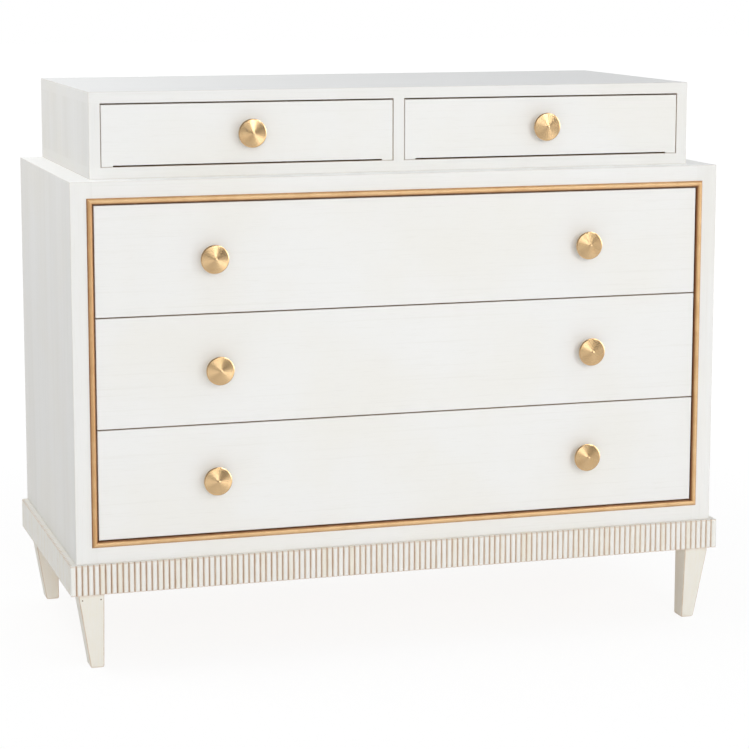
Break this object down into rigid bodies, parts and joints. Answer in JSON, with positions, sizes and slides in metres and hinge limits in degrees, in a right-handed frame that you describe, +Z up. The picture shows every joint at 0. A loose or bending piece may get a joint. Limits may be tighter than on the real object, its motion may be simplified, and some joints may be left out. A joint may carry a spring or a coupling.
{
  "type": "chest of drawers",
  "caption": "White painted chest of drawers: a wide lower case with a gilt bead, a set-back box of small drawers on top, brass knobs, a reeded plinth and tapered legs.",
  "frame": {"origin": "on the floor, under the middle of the bounding box with the drawers shut", "axes": "+X to the right of someone facing the drawers, +Y to the back, +Z up"},
  "size_m": [1.223, 0.57, 1.0065],
  "materials": {
    "white_paint": "off-white paint, rubbed through at the edges",
    "glazed_paint": "cream paint under a brown glaze, rubbed through at the edges",
    "gilding": "gold over wood",
    "brass": "satin, turned",
    "bare_wood": "bare pale wood",
    "panel_wood": "bare plywood",
    "steel": "zinc plated"
  },
  "bodies": {
    "case": {"case_side_left": "white_paint", "case_side_right": "white_paint", "case_top": "white_paint", "case_bottom": "bare_wood", "case_back": "panel_wood", "frame_stile_left": "white_paint", "frame_stile_right": "white_paint", "frame_rail_top": "white_paint", "frame_rail_bottom": "white_paint", "gilt_bead": "gilding", "apron_front": "glazed_paint", "apron_left": "glazed_paint", "apron_right": "glazed_paint", "apron_back": "glazed_paint", "corner_blocks": "bare_wood", "leg_front_left": "glazed_paint", "leg_front_right": "glazed_paint", "leg_rear_left": "glazed_paint", "leg_rear_right": "glazed_paint", "drawer_runners": "bare_wood", "upper_top": "white_paint", "upper_bottom": "white_paint", "upper_side_left": "white_paint", "upper_side_right": "white_paint", "upper_partition": "white_paint", "upper_back": "panel_wood", "drawer_stops": "bare_wood"},
    "drawer_top": {"drawer_top_front": "white_paint", "drawer_top_sides": "bare_wood", "drawer_top_back": "bare_wood", "drawer_top_floor": "panel_wood", "drawer_top_knobs": "brass", "drawer_top_knob_screws": "steel"},
    "drawer_middle": {"drawer_middle_front": "white_paint", "drawer_middle_sides": "bare_wood", "drawer_middle_back": "bare_wood", "drawer_middle_floor": "panel_wood", "drawer_middle_knobs": "brass", "drawer_middle_knob_screws": "steel"},
    "drawer_bottom": {"drawer_bottom_front": "white_paint", "drawer_bottom_sides": "bare_wood", "drawer_bottom_back": "bare_wood", "drawer_bottom_floor": "panel_wood", "drawer_bottom_knobs": "brass", "drawer_bottom_knob_screws": "steel"},
    "drawer_small_left": {"drawer_small_left_front": "white_paint", "drawer_small_left_sides": "bare_wood", "drawer_small_left_back": "bare_wood", "drawer_small_left_floor": "panel_wood", "drawer_small_left_knobs": "brass", "drawer_small_left_knob_screws": "steel"},
    "drawer_small_right": {"drawer_small_right_front": "white_paint", "drawer_small_right_sides": "bare_wood", "drawer_small_right_back": "bare_wood", "drawer_small_right_floor": "panel_wood", "drawer_small_right_knobs": "brass", "drawer_small_right_knob_screws": "steel"}
  },
  "joints": [
    {"name": "drawer_top_slide", "type": "slide", "parent": "case", "child": "drawer_top", "axis": [0, -1, 0], "range_m": [0, 0.36]},
    {"name": "drawer_middle_slide", "type": "slide", "parent": "case", "child": "drawer_middle", "axis": [0, -1, 0], "range_m": [0, 0.36]},
    {"name": "drawer_bottom_slide", "type": "slide", "parent": "case", "child": "drawer_bottom", "axis": [0, -1, 0], "range_m": [0, 0.36]},
    {"name": "drawer_small_left_slide", "type": "slide", "parent": "case", "child": "drawer_small_left", "axis": [0, -1, 0], "range_m": [0, 0.31]},
    {"name": "drawer_small_right_slide", "type": "slide", "parent": "case", "child": "drawer_small_right", "axis": [0, -1, 0], "range_m": [0, 0.31]}
  ]
}
